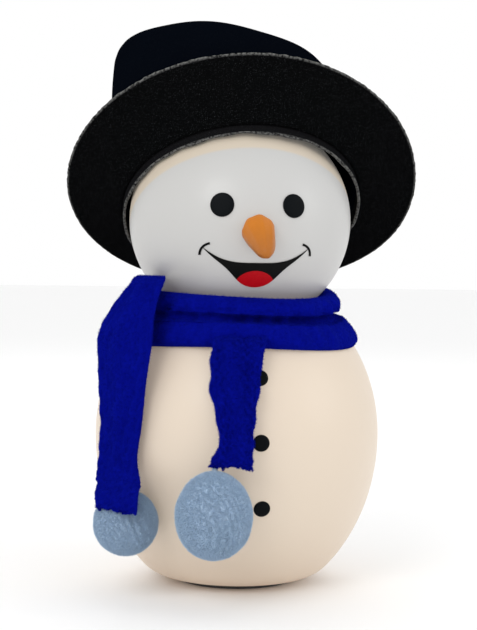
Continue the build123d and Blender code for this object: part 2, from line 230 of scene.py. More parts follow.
def body_profile(inset, top, base_hole):
    """Outline of the body from the hole in its base to the neck: a flat, a quarter rounding that runs into the
    lower ellipse where the two share a normal, then the upper ellipse."""
    sizes = (body_radius, body_rise, body_drop, base_rounding)
    radius, rise, drop, rounding = (size - inset for size in sizes)
    floor = body_floor + inset
    angle = np.linspace(0.2, 1.5, 4000)
    normal = np.stack([np.cos(angle) / radius, -np.sin(angle) / drop], axis=-1)
    normal /= np.linalg.norm(normal, axis=-1, keepdims=True)
    touch = np.stack([radius * np.cos(angle), body_middle - drop * np.sin(angle)], axis=-1)
    centre = touch - rounding * normal
    meet = np.argmin(abs(centre[:, 1] - floor - rounding))
    swing = np.linspace(-np.pi / 2, math.atan2(normal[meet, 1], normal[meet, 0]), 16)
    edge = centre[meet] + rounding * np.stack([np.cos(swing), np.sin(swing)], axis=-1)
    lower = np.linspace(-angle[meet], 0, 40)[1:]
    upper = np.linspace(0, math.asin((top - body_middle) / rise), 40)[1:]
    side = [np.stack([radius * np.cos(a), body_middle + r * np.sin(a)], axis=-1)
            for a, r in ((lower, drop), (upper, rise))]
    flat = np.array([[base_hole, floor]])
    return np.vstack([flat, edge, *side, [[neck_opening, top]]])


def head_profile(inset, cut):
    """Outline of the head from the neck to its crown."""
    radius, rise = head_radius - inset, head_rise - inset
    angle = np.linspace(math.asin((cut - head_middle) / rise), np.pi / 2, 72)
    side = np.stack([radius * np.cos(angle), head_middle + rise * np.sin(angle)], axis=-1)
    return np.vstack([[[neck_opening, cut]], side])


# Painted light on the body: its base colour is a warmer cream than the head's, though both are the same white
# plastic, and its emission is a painted glow that stands in for the lamps inside shining through the shell.
body_glow = Finish("lit_body_plastic", base_color=(0.52, 0.45, 0.37), roughness=0.42, emission_strength=0.19,
                   coat_weight=0.06)
# Painted shade: the glow's colour is dimmer and more amber over the lowest 5 cm of the body, and a little dimmer
# again from 10 cm up towards the neck, with random cloudiness on top.
middle = body_glow.axis(2).above(0.0, 0.05) * (1 - body_glow.axis(2).above(0.10, 0.19) * 0.35)
cloudy = body_glow.noise(9.0, 3.0) * 0.25 + body_glow.noise(38.0) * 0.06
body_glow.wear(emission_color=body_glow.mix(middle * 0.75 + cloudy, (0.74, 0.49, 0.33), (1.0, 0.81, 0.63)),
               roughness=body_glow.noise(160.0, 4.0) * 0.14 + 0.36)
body_glow.bump(body_glow.noise(420.0, 3.0), 0.00006, 0.35)

head_glow = Finish("lit_head_plastic", base_color=(0.43, 0.43, 0.425), roughness=0.40, emission_strength=0.10,
                   coat_weight=0.06)
# Painted light on the head: its emission is a weak painted glow, and its colour is painted shade, darker and
# warmer on the -X side and lower down towards the chin, brightest on the +X side and high up.
painted_side_shade = head_glow.axis(0).above(-0.06, 0.045)
painted_chin_shade = head_glow.axis(2).above(0.165, 0.205)
patches = head_glow.noise(14.0, 3.0) * 0.3
shaded_side_colour = head_glow.mix(painted_chin_shade, (0.58, 0.50, 0.46), (0.66, 0.60, 0.50))
lit_side_colour = head_glow.mix(painted_chin_shade, (0.70, 0.60, 0.57), (0.92, 0.91, 0.89))
head_glow.wear(
    emission_color=head_glow.mix(painted_side_shade * 0.55 + patches, shaded_side_colour, lit_side_colour),
    roughness=head_glow.noise(160.0, 4.0) * 0.14 + 0.33)
# Painted shade of the hat: above a plane tipped with the hat, just under its lip, the base colour turns warm
# cream, the colour the head takes where the hat keeps the cool outside light off. The cream carries on over the
# top and back of the head, under the crown.
along_hat = head_glow.axis(1) * math.sin(hat_tilt) + head_glow.axis(2) * math.cos(hat_tilt)
hat_shadow_band = along_hat.above(0.1660, 0.1685)
head_glow.wear(base_color=head_glow.mix(hat_shadow_band, (0.43, 0.43, 0.425), (0.50, 0.43, 0.34)))
head_glow.bump(head_glow.noise(420.0, 3.0), 0.00006, 0.35)

head_cut = neck_height + neck_gap
body_loop = np.vstack([body_profile(0, neck_height, base_opening),
                       body_profile(shell_wall, neck_height - shell_wall, base_opening)[::-1]])
head_loop = np.vstack([head_profile(0, head_cut), head_profile(shell_wall, head_cut + shell_wall)[::-1]])
for name, loop, finish, slot in (("body_shell_lit", body_loop, body_glow, "lit_body"),
                                 ("head_shell_lit", head_loop, head_glow, "lit_head")):
    shell = surface(name, turned(loop), finish, loop_rows=(name == "body_shell_lit"), loop_columns=True)
    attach(shell, "root")
    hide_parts(name.replace("_lit", ""))

# --- eyes and coat buttons --------------------------------------------------------------------------------
# Five black plastic discs with a low dome and a rounded edge, glued on square to the surface under them.
bead_black = Finish("bead_black_gloss", base_color=(0.002, 0.003, 0.004), roughness=0.45,
                    specular_ior_level=0.06)
bead_black.wear(roughness=bead_black.noise(900.0, 3.0) * 0.2 + 0.38)
bead_black.bump(bead_black.noise(260.0), 0.00008, 0.4)


def bead(name, seat, facing, radius, dome, node):
    """A disc on a seat point. Its section is a superellipse: the face nearly flat, the edge rounded."""
    facing = np.array(facing) / np.linalg.norm(facing)
    across = np.cross((0, 0, 1), facing)
    across /= np.linalg.norm(across)
    upward = np.cross(facing, across)
    turn = np.linspace(0, 2 * np.pi, 64, endpoint=False)[None, :]
    swing = np.linspace(-np.pi / 2, np.pi / 2, 33)[:, None]
    out = radius * np.sign(np.cos(swing)) * abs(np.cos(swing)) ** 0.55
    height = dome * np.sign(np.sin(swing)) * abs(np.sin(swing)) ** 0.8
    rim = (out * np.cos(turn))[..., None] * across + (out * np.sin(turn))[..., None] * upward
    grid = np.array(seat) + rim + (height + 0 * turn)[..., None] * facing
    piece = surface(name, grid, bead_black, loop_columns=True)
    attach(piece, "root")
    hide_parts(node)


eye_side, eye_height = 20.4, 223.3
eye_out = math.sqrt(head_radius**2 * (1 - ((eye_height - head_middle) / head_rise) ** 2) - eye_side**2)
eye_radius, button_radius, bead_dome = 6.85, 4.7, 1.1
for node, side in (("eye_left", -1), ("eye_right", 1)):
    facing = (side * eye_side, -eye_out, (eye_height - head_middle) * (head_radius / head_rise) ** 2)
    bead(node + "_bead", (side * eye_side, -eye_out, eye_height), facing, eye_radius, bead_dome, node)
coat_buttons = (
    ("coat_button_top", 0.0, 127.3),
    ("coat_button_middle", 0.0, 91.8),
    ("coat_button_bottom", 1.8, 54.5),
)
for node, side, height in coat_buttons:
    half = body_rise if height > body_middle else body_drop
    out = math.sqrt(body_radius**2 * (1 - ((height - body_middle) / half) ** 2) - side**2)
    facing = (side, -out, (height - body_middle) * (body_radius / half) ** 2)
    bead(node + "_bead", (side, -out, height), facing, button_radius, bead_dome, node)

# --- mouth and tongue -------------------------------------------------------------------------------------
# Two flat colours of ink pad-printed on the face: a black smile with turned-up corners, and a red tongue.
ink_black = Finish("ink_black", base_color=(0.002, 0.002, 0.002), roughness=0.45, specular_ior_level=0.08)
ink_black.wear(roughness=ink_black.noise(700.0) * 0.2 + 0.35)
ink_red = Finish("ink_red", base_color=(0.42, 0.002, 0.006), roughness=0.42, specular_ior_level=0.1)
ink_red.wear(base_color=ink_red.mix(ink_red.noise(600.0, 3.0), (0.36, 0.001, 0.004), (0.46, 0.003, 0.009)))
ink_red.bump(ink_red.noise(900.0), 0.00003, 0.3)


def dress(node, finish):
    """Puts a finish on a piece of the frame."""
    nodes[node].data.materials.clear()
    nodes[node].data.materials.append(finish.material)


dress("mouth_print", ink_black)
dress("tongue_print", ink_red)

# --- nose -------------------------------------------------------------------------------------------------
# A short carrot carved in a few broad flats from a block, painted orange, its tip drooping. A peg behind it
# goes through the head and is held by a push-on washer.
carrot_paint = Finish("carrot_orange", base_color=(0.50, 0.16, 0.01), roughness=0.42, specular_ior_level=0.2)
# Painted shade: the carrot's orange is darker and browner lower down, on the underside of its root and along the
# drooping tip, and random darker patches are mixed in.
painted_underside_shade = (carrot_paint.axis(2) * -1).above(-0.215, -0.196)
worn = carrot_paint.noise(150.0, 4.0, 0.6)
carrot_paint.wear(
    base_color=carrot_paint.mix(painted_underside_shade * 0.7 + worn * 0.25, (0.58, 0.18, 0.008), (0.33, 0.11, 0.02)),
    roughness=worn * 0.2 + 0.34)
carrot_paint.bump(carrot_paint.noise(500.0, 4.0), 0.00012, 0.5)

nose_root = np.array([0, -65.3, 208.2])
nose_droop = math.radians(22)
nose_way = np.array([0, -math.cos(nose_droop), -math.sin(nose_droop)])
nose_up = np.array([0, -math.sin(nose_droop), math.cos(nose_droop)])
nose_length, nose_radius = 31.0, 9.3


def carved_carrot():
    """A drooping taper with a round tip, r = R (1 - 0.52 t^1.1) sqrt(1 - t^7), cut by seven unequal flats: the
    radius at an angle is the smooth minimum of the distances to the flats."""
    t = np.linspace(-0.16, 1, 60)[:, None]
    turn = np.linspace(0, 2 * np.pi, 120, endpoint=False)[None, :]
    length = np.clip(t, 0, 1)
    cone = nose_radius * (1 - 0.52 * length**1.1) * np.sqrt(1 - length**7 + 1e-9)
    flats = np.radians([8, 62, 112, 158, 214, 262, 318])
    facing = np.cos(turn[..., None] - flats - 0.15 * length[..., None])
    distance = np.where(facing > 0.3, 0.93 / np.maximum(facing, 0.3), 9.0)
    cut = -np.log(np.exp(-distance * 26).sum(-1)) / 26
    radius = cone * np.minimum(1.02, cut + 0.045)
    bend = 0.9 * length**2
    side = np.array([1.0, 0, 0])
    return (nose_root + (nose_length * t)[..., None] * nose_way + (radius * np.cos(turn))[..., None] * side
            + (radius * np.sin(turn) - bend)[..., None] * nose_up)


carrot = surface("nose_carrot", carved_carrot(), carrot_paint, loop_columns=True)
work = bmesh.new()
work.from_mesh(carrot.data)
bmesh.ops.holes_fill(work, edges=[e for e in work.edges if e.is_boundary], sides=0)
work.to_mesh(carrot.data)
work.free()
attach(carrot, "root")
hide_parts("nose")

# --- base and inner works ---------------------------------------------------------------------------------
# A dark moulded plate closes the body's base and carries the battery cap, the slide switch and the foot ring.
# The battery holder, lamp board, LEDs, reflector and leads stand on it inside the body.
moulded_grey = Finish("moulded_dark_grey", base_color=(0.05, 0.052, 0.056), roughness=0.55)
grain = moulded_grey.noise(1400.0, 3.0)
moulded_grey.wear(base_color=moulded_grey.mix(grain, (0.036, 0.038, 0.042), (0.064, 0.066, 0.070)),
                  roughness=grain * 0.2 + 0.45)
moulded_grey.bump(grain, 0.00008, 0.6)
moulded_black = Finish("moulded_black", base_color=(0.012, 0.012, 0.013), roughness=0.4)
moulded_black.wear(roughness=moulded_black.noise(1400.0, 3.0) * 0.2 + 0.32)
moulded_black.bump(moulded_black.noise(1400.0, 3.0), 0.00006, 0.5)
plated = Finish("plated_steel", base_color=(0.62, 0.62, 0.63), metallic=1.0, roughness=0.3)
plated.wear(roughness=plated.noise(600.0, 4.0, stretch=(1, 8, 1)) * 0.25 + 0.2)
plated.bump(plated.noise(900.0, 3.0, stretch=(1, 8, 1)), 0.00002, 0.4)
jacket = Finish("cell_jacket", base_color=(0.05, 0.12, 0.10), roughness=0.3, metallic=0.3)
cell_end = jacket.axis(2).above(0.0555, 0.0558)
jacket.wear(base_color=jacket.mix(cell_end, (0.03, 0.10, 0.08), (0.55, 0.55, 0.56)),
            metallic=cell_end * 0.8 + 0.1,
            roughness=jacket.noise(500.0) * 0.15 + 0.25)
board = Finish("board_green", base_color=(0.02, 0.14, 0.05), roughness=0.35)
tracks = board.noise(260.0, 1.0, stretch=(1, 4, 1)).above(0.52, 0.56)
board.wear(base_color=board.mix(tracks, (0.010, 0.10, 0.035), (0.03, 0.20, 0.07)))
board.bump(tracks, 0.00005, 0.5)
lens = Finish("led_lens", base_color=(0.9, 0.9, 0.82), roughness=0.12, emission_strength=1.2)
lens.wear(emission_color=lens.mix(lens.axis(2).above(0.0735, 0.0775), (0.6, 0.5, 0.36), (1.0, 0.90, 0.74)))
gloss_white = Finish("reflector_white", base_color=(0.85, 0.85, 0.84), roughness=0.2)
gloss_white.wear(roughness=gloss_white.noise(300.0) * 0.15 + 0.15)
lead = Finish("lead_jacket", base_color=(0.30, 0.02, 0.02), roughness=0.45)
lead.wear(base_color=lead.mix(lead.axis(0).above(0.0014, 0.0018), (0.01, 0.01, 0.01), (0.34, 0.012, 0.012)),
          roughness=lead.noise(800.0) * 0.2 + 0.35)
frosted = Finish("collar_frosted", base_color=(0.80, 0.79, 0.76), roughness=0.5)
frosted.wear(roughness=frosted.noise(400.0, 3.0) * 0.2 + 0.4)
wadding = Finish("crown_wadding", base_color=(0.55, 0.55, 0.53), roughness=0.95)
wadding.wear(base_color=wadding.mix(wadding.noise(160.0, 5.0, 0.7), (0.42, 0.42, 0.40), (0.68, 0.68, 0.66)))
wadding.bump(wadding.noise(240.0, 6.0, 0.7), 0.0012, 0.9)
for finish, members in (
        (moulded_grey, "foot_ring base_plate battery_cap battery_holder lamp_post nose_washer"),
        (moulded_black, "switch_housing switch_knob"),
        (plated, "base_screws board_screws battery_springs cap_contact_plate top_contact_plate"),
        (jacket, "battery_cells"), (board, "lamp_board"), (lens, "leds"), (gloss_white, "reflector"),
        (lead, "lead_wires"), (frosted, "neck_collar"), (wadding, "crown_stuffing")):
    for node in members.split():
        dress(node, finish)

# --- hat --------------------------------------------------------------------------------------------------
# Pressed black felt, 2 mm thick, cut and glued: a soft straight crown with a disc for its top, a broad brim with
# a raw cut edge, turned up most in front and least on the +X side, and a narrow band inside the opening whose
# edge is also left raw. It is tipped back on the head.
# The crown's two felt colours, this one and the lighter one given to crown_felt below, carry a faint blue tint:
# painted cool light falling on the black felt from above.
felt_dark = (0.0010, 0.0015, 0.0028)


def felt_finish(name, dark, light, speckle):
    """Matted fibres: two scales of noise for the nap, pale specks of lint, and a raw cut edge painted pale in
    patches as a highlight, the light caught by its loose fibres.
    """
    felt = Finish(name, base_color=dark, roughness=0.94, specular_ior_level=0.0)
    matting = felt.noise(1500.0, 4.0, 0.65)
    cloud = felt.noise(30.0, 3.0)
    lint = felt.noise(2600.0, 1.0).above(0.66, 0.72) * speckle
    # Painted highlight: on a raw cut edge the felt turns pale grey in patches, the light caught by its loose
    # fibres.
    raw = felt.mark("raw") * felt.noise(700.0, 3.0).above(0.30, 0.62)
    nap = felt.mix(matting * 0.7 + cloud * 0.3, dark, light)
    flecked = felt.mix(lint, nap, (0.045, 0.048, 0.052))
    felt.wear(base_color=felt.mix(raw, flecked, (0.17, 0.17, 0.165)), roughness=matting * 0.1 + 0.86)
    felt.bump(matting + felt.noise(350.0, 3.0) * 0.8, 0.0005, 0.8)
    return felt


crown_felt = felt_finish("crown_felt", felt_dark, (0.0022, 0.0034, 0.0064), 0.12)
brim_felt = felt_finish("brim_felt", (0.0012, 0.0013, 0.0014), (0.0032, 0.0033, 0.0036), 0.75)
band_felt = felt_finish("band_felt", (0.0038, 0.0038, 0.0042), (0.0085, 0.0085, 0.0095), 0.5)

hat_up = np.array([0, math.sin(hat_tilt), math.cos(hat_tilt)])
hat_front = np.array([0, -math.cos(hat_tilt), math.sin(hat_tilt)])
hat_side = np.array([1.0, 0, 0])
opening_middle, opening_radius = np.array([2.5, 13.0, 225.8]), 72.0
top_middle, top_radius = np.array([-4.0, 56.0, 312.4]), 68.3
top_up = np.array([0.15, 0.30, 0.94])
top_up /= np.linalg.norm(top_up)
top_side = hat_side - top_up * top_up[0]
top_side /= np.linalg.norm(top_side)
top_front = np.cross(top_side, top_up)
felt_thickness = 2.0
crown_turn = np.linspace(0, 2 * np.pi, 256, endpoint=False)[None, :]


def around(angle, front, side):
    """Unit directions at these angles, from the front towards the +X side."""
    return np.cos(angle)[..., None] * front + np.sin(angle)[..., None] * side


def crown_wall(inset):
    """Straight lines from the opening's ring to the top's ring, swollen by the wadding above, drawn in just over
    the brim, creased by slow waves, and turned in with a quarter rounding at the top edge."""
    rise = np.linspace(0, 1, 40)[:, None]
    roll = np.clip((rise - 0.84) / 0.16, 0, 1) * np.pi / 2
    rounding = 11.0
    height = np.where(rise > 0.84, 0.90 + 0.10 * np.sin(roll), rise / 0.84 * 0.90)
    tuck = rounding * (1 - np.cos(roll))
    swell = 3.4 * np.sin(np.pi * np.clip((height - 0.22) / 0.78, 0, 1))
    waist = 2.2 * np.exp(-((height - 0.12) / 0.10) ** 2)
    waves = 0.9 * np.sin(3 * crown_turn + 0.6 + 2.0 * height) + 0.6 * np.sin(7 * crown_turn - 3.0 * height)
    low = opening_middle + around(crown_turn, hat_front, hat_side) * (opening_radius - inset)
    high = top_middle + around(crown_turn, top_front, top_side) * (top_radius - inset)
    out = around(crown_turn, hat_front, hat_side)
    return low + (high - low) * height[..., None] + out * (swell - waist + waves * height - tuck)[..., None]


wall_loop = np.vstack([crown_wall(0), crown_wall(felt_thickness)[::-1]])
crown = surface("hat_crown_wall", wall_loop, crown_felt, loop_rows=True, loop_columns=True, marks={"raw": 0.0})
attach(crown, "hat")
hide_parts("hat_crown")


def crown_disc(drop):
    """The top: a disc pushed up in the middle by the wadding, and sunk a little round its edge."""
    reach = np.linspace(0, 1, 30)[:, None]
    radius = reach * (top_radius - 7.5)
    ruffle = 0.8 * np.sin(3 * crown_turn + 1.0) * reach * (1 - reach) * 4
    dome = 3.2 * (1 - reach**2) + ruffle - 1.6 * reach**10
    return (top_middle + around(crown_turn, top_front, top_side) * radius[..., None]
            + (dome + 1.4 - drop)[..., None] * top_up)


disc_loop = np.vstack([crown_disc(0), crown_disc(felt_thickness)[::-1]])
crown_top = surface("hat_top_disc", disc_loop, crown_felt, loop_columns=True, marks={"raw": 0.0})
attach(crown_top, "hat")
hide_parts("hat_crown_top")

brim_width = 38.5
brim_turn_up, brim_front_lift, brim_sag, brim_sag_angle = 34, 18, 22, math.radians(105)


def brim_surface(reach, across, angle):
    """The brim leaves the opening's ring outwards, turned up by turn_up + lift forward^2 - sag near^6 degrees:
    most in front, with a broad sag on the +X side."""
    forward = (1 + np.cos(angle)) / 2
    near_sag = (1 + np.cos(angle - brim_sag_angle)) / 2
    flip = np.radians(brim_turn_up + brim_front_lift * forward**2 - brim_sag * near_sag**6)
    out = around(angle, hat_front, hat_side)
    along = out * np.cos(flip)[..., None] + hat_up * np.sin(flip)[..., None]
    over = hat_up * np.cos(flip)[..., None] - out * np.sin(flip)[..., None]
    root = opening_middle + out * (opening_radius + felt_thickness / 2 + 0.3)
    return root + along * (reach * brim_width)[..., None] + over * across[..., None]


def brim_section():
    """A closed loop round the felt's section: out along the upper face, round the cut edge and back below."""
    reach = np.linspace(-0.05, 1, 26)
    upper = np.stack([reach, 0 * reach + felt_thickness / 2], axis=-1)
    edge = np.array([[1.006, 0.45], [1.006, -0.45]])
    lower = np.stack([reach[::-1], 0 * reach - felt_thickness / 2], axis=-1)
    return np.vstack([upper, edge, lower])


brim_turn = np.linspace(0, 2 * np.pi, 360, endpoint=False)[None, :]
section = brim_section()
flutter = np.random.default_rng(5).normal(0, 0.004, (1, 360)) * (section[:, :1] > 0.99)
brim_grid = brim_surface(section[:, :1] + flutter, section[:, 1:] + 0 * brim_turn,
                         brim_turn + 0 * section[:, :1])
brim = surface("hat_brim_felt", brim_grid, brim_felt, loop_rows=True, loop_columns=True,
               marks={"raw": np.clip((section[:, :1] - 0.985) / 0.012, 0, 1)})
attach(brim, "hat")
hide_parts("hat_brim")


def lip_band():
    """A short felt tube from just above the seam to about 7.5 mm below it, its raw edge wavering a little."""
    t = np.linspace(-0.35, 1, 12)
    outer, edge = np.stack([0 * t, t], axis=-1), [[0.5, 1.03], [1.2, 1.03]]
    inner = np.stack([0 * t + 1.7, t[::-1]], axis=-1)
    loop = np.vstack([outer, edge, inner])
    waver = 0.5 * np.sin(9 * brim_turn) + 0.4 * np.sin(23 * brim_turn + 1)
    depth = 7.4 * loop[:, 1:] + waver * (loop[:, 1:] > 0.95)
    radius = opening_radius - 0.25 - loop[:, :1] + 0 * brim_turn
    ring = around(brim_turn, hat_front, hat_side) * radius[..., None]
    grid = opening_middle + ring - depth[..., None] * hat_up
    return grid, np.clip((loop[:, 1:] - 0.9) / 0.1, 0, 1)


band_grid, band_raw = lip_band()
band = surface("hat_lip_felt", band_grid, band_felt, loop_rows=True, loop_columns=True,
               marks={"raw": band_raw * 0.7})
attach(band, "hat")
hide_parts("hat_lip_band")

# --- scarf ------------------------------------------------------------------------------------------------
# A strip of royal blue fleece with a brushed nap. It goes once round the neck, folded on itself so that two
# strands show, and its two ends hang down the front, one from the snowman's right shoulder, one from the middle.
fleece_blue = Finish("blue_fleece", base_color=(0.002, 0.006, 0.22), roughness=0.95, sheen_weight=0.12,
                     sheen_roughness=0.45, specular_ior_level=0.0)
fleece_blue.shader.inputs["Sheen Tint"].default_value = (0.05, 0.09, 0.9, 1)
tufts = fleece_blue.noise(420.0, 4.0, 0.6)
clumps = fleece_blue.noise(110.0, 3.0)
fleece_blue.wear(base_color=fleece_blue.mix(tufts * 0.6 + clumps * 0.4, (0.0008, 0.0014, 0.105),
                                            (0.0024, 0.006, 0.30)))
fleece_blue.bump(tufts + clumps * 0.6, 0.0012, 0.9)
rng = np.random.default_rng(11)


def spline(points, count):
    """A smooth curve through the corners' neighbourhood: a uniform cubic B-spline with doubled ends."""
    points = np.array(points, float)
    held = np.vstack([points[:1], points[:1], points, points[-1:], points[-1:]])
    t = np.linspace(0, len(held) - 3 - 1e-6, count)
    i, f = t.astype(int), (t % 1)[:, None]
    return ((1 - f) ** 3 * held[i] + (3 * f**3 - 6 * f**2 + 4) * held[i + 1]
            + (-3 * f**3 + 3 * f**2 + 3 * f + 1) * held[i + 2] + f**3 * held[i + 3]) / 6


def ripple(a, b, seed, waves=9, fastest=6.0):
    """A smooth random height between about -1 and 1: a sum of sines whose ways and phases are drawn once."""
    draw = np.random.default_rng(seed)
    total = 0
    for _ in range(waves):
        kx, ky, phase = draw.uniform(-fastest, fastest), draw.uniform(-fastest, fastest), draw.uniform(0, 6.28)
        total = total + np.sin(kx * a + ky * b + phase)
    return total / math.sqrt(waves)


def outward(azimuth):
    """Level direction out of the axis at an azimuth in radians: 0 is the front, positive is towards -X."""
    return np.stack([-np.sin(azimuth), -np.cos(azimuth), 0 * azimuth], axis=-1)


def wrap_grid():
    """A folded band round the neck. Its section is a spline in (radius, height) from under the chin, over the
    upper strand, into the fold, over the lower strand and in against the body. The strands merge on the -X
    side, lie flatter on the +X side and are gathered all round, and nothing sinks into the two shells."""
    azimuth = np.linspace(0, 2 * np.pi, 420, endpoint=False)
    upper = spline([(48.5, 167), (50.5, 172.5), (55.5, 175.5), (61.5, 174.0), (65.0, 169), (64.0, 164.5)], 40)
    fold = spline([(63.0, 164.5), (57.5, 162.6), (58.5, 159.6), (65.5, 158.2)], 24)
    lower = spline([(67.5, 158.5), (71.5, 154.0), (73.6, 149.5), (73.0, 145.0), (70.2, 143.5)], 40)
    outer = np.vstack([upper, fold, lower])
    step = np.gradient(outer, axis=0)
    normal = np.stack([-step[:, 1], step[:, 0]], axis=-1)
    normal /= -np.linalg.norm(normal, axis=1, keepdims=True)
    inner = outer + 2.6 * normal
    loop = np.vstack([outer, inner[::-1]])
    along = np.concatenate([np.linspace(0, 1, len(outer)), np.linspace(1, 0, len(outer))])[:, None]
    face = np.concatenate([np.ones(len(outer)), np.zeros(len(outer))])[:, None]
    a = azimuth[None, :]
    front = (1 + np.cos(a)) / 2
    rise = -5.0 * front**2 + 3.0 * (1 - front) + 1.2 * np.sin(2 * a + 0.5)
    belly = np.sin(np.pi * along)
    merge = 4.0 * np.clip(1.6 * np.sin(a), 0, 1) * np.exp(-(((along - 0.5) / 0.09) ** 2))
    slim = 5.5 * np.clip(-np.sin(a), 0, 1) ** 2 * belly
    gather = 1.1 * ripple(7 * np.sin(a), 7 * np.cos(a) + 4 * along, 3) * belly
    radius = loop[:, :1] + gather + merge - slim
    height = loop[:, 1:] + rise * (0.25 + 0.75 * (1 - along)) + 1.2 * np.sin(a * 3 + 1.0) * along
    radius = radius + face * 0.10 * rng.normal(0, 1, (len(loop), len(azimuth)))
    body_skin = body_radius * np.sqrt(np.clip(1 - ((height - body_middle) / body_rise) ** 2, 0, 1))
    head_skin = head_radius * np.sqrt(np.clip(1 - ((height - head_middle) / head_rise) ** 2, 0, 1))
    radius = np.maximum(radius, np.maximum(body_skin, head_skin) + 0.6 + 0.6 * face)
    return outward(a) * radius[..., None] + height[..., None] * np.array([0, 0, 1.0])


wrap = surface("scarf_neck_wrap", wrap_grid(), fleece_blue, loop_rows=True, loop_columns=True)
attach(wrap, "root")
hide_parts("scarf_wrap")

tail_thickness = 4.6


def hanging_tail(azimuth, rows, seed, fold, ragged):
    """A strip of fleece hanging against the body. Each row of the table is (distance out, height, shift round,
    half width), and splines carry them down the strip. The section is a flat oval, bent by a lengthwise fold that
    wanders, and the lower end is ragged."""
    down = spline(rows, 150)
    out, height, shift, half = (down[:, i][:, None] for i in range(4))
    turn = np.linspace(0, 2 * np.pi, 72, endpoint=False)[None, :]
    across = np.sign(np.cos(turn)) * abs(np.cos(turn)) ** 0.8
    t = np.linspace(0, 1, 150)[:, None]
    lower_close = np.sqrt(1 - (2 * np.clip(t, 0.985, 1) - 1.97) ** 2 / 0.03**2 + 1e-9)
    close = lower_close * np.sqrt(np.clip(t / 0.01, 0, 1))
    bulk = tail_thickness / 2 * np.sign(np.sin(turn)) * abs(np.sin(turn)) ** 0.7 * close
    bend = fold(t, across)
    lumps = 0.55 * ripple(26 * t, 5 * across, seed) + 0.07 * rng.normal(0, 1, (150, 72))
    edge = 0.55 * ripple(60 * t, across, seed + 1, fastest=1.0) * across
    plane_out, plane_side = outward(np.array(azimuth)), outward(np.array(azimuth + np.pi / 2))
    frayed = ragged * ripple(9 * across, 0 * across, seed + 2) * np.clip((t - 0.9) / 0.1, 0, 1)
    return ((out + bulk + bend + lumps * (bulk > 0) * close)[..., None] * plane_out
            + (shift + half * across + edge)[..., None] * plane_side
            + (height + frayed)[..., None] * np.array([0, 0, 1.0]))


def left_fold(t, s):
    """Two soft lengthwise ridges, deeper at the shoulder, that die out towards the free end."""
    ridge = 2.4 * np.exp(-((s + 0.25 - 0.5 * t) / 0.35) ** 2) * (1 - t)
    return ridge + np.sin(3.0 * s + 5 * t) * (1 - 0.4 * t)


def centre_fold(t, s):
    """One ridge that runs from the upper right to the lower left, with a deep valley beside it."""
    crest = 0.75 - 1.5 * t
    ridge = 3.0 * np.exp(-((s - crest) / 0.32) ** 2)
    valley = 3.2 * np.exp(-((s - crest + 0.55) / 0.26) ** 2) * (1 - t)
    return ridge - valley + 1.6


left_rows = [(57, 178, 18, 4), (60, 183, 14, 8), (68, 182, 9, 11.5), (76, 174, 7.5, 13.5), (84, 160, 10.5, 19),
             (88.5, 146, 10, 21), (89.5, 132, 9.5, 19.5), (90.0, 116, 9, 17.5), (90.6, 98, 8.2, 16.5),
             (90.8, 84, 10, 15.5), (92.5, 75, 9, 16), (96.5, 69, 3.5, 16.5), (102, 65.5, -1.5, 16.5),
             (107.5, 61, -6.2, 16.5), (111.3, 54.5, -9.8, 16)]
centre_rows = [(64, 150, -4, 12.5), (71, 150, -4, 14), (77, 146, -3.4, 14.5), (80, 138, -1.8, 14.2),
               (84, 126, -1.0, 13.8), (88.5, 114, -1.2, 12.2), (92.5, 102, -2.5, 10.2), (96, 92, -3.0, 9.2),
               (98.8, 85, -1.0, 11.0), (99.2, 80.5, 0, 12.0)]
tails = (
    ("scarf_left_end", 50.0, left_rows, 21, left_fold, 1.2,
     "left_tail", "scarf_tail_left", (72, 168), (86, 150), (0.042, 0.150)),
    ("scarf_centre_end", 11.0, centre_rows, 31, centre_fold, 1.2,
     "centre_tail", "scarf_tail_centre", (70, 146), (80, 132), (0.030, 0.085)),
)


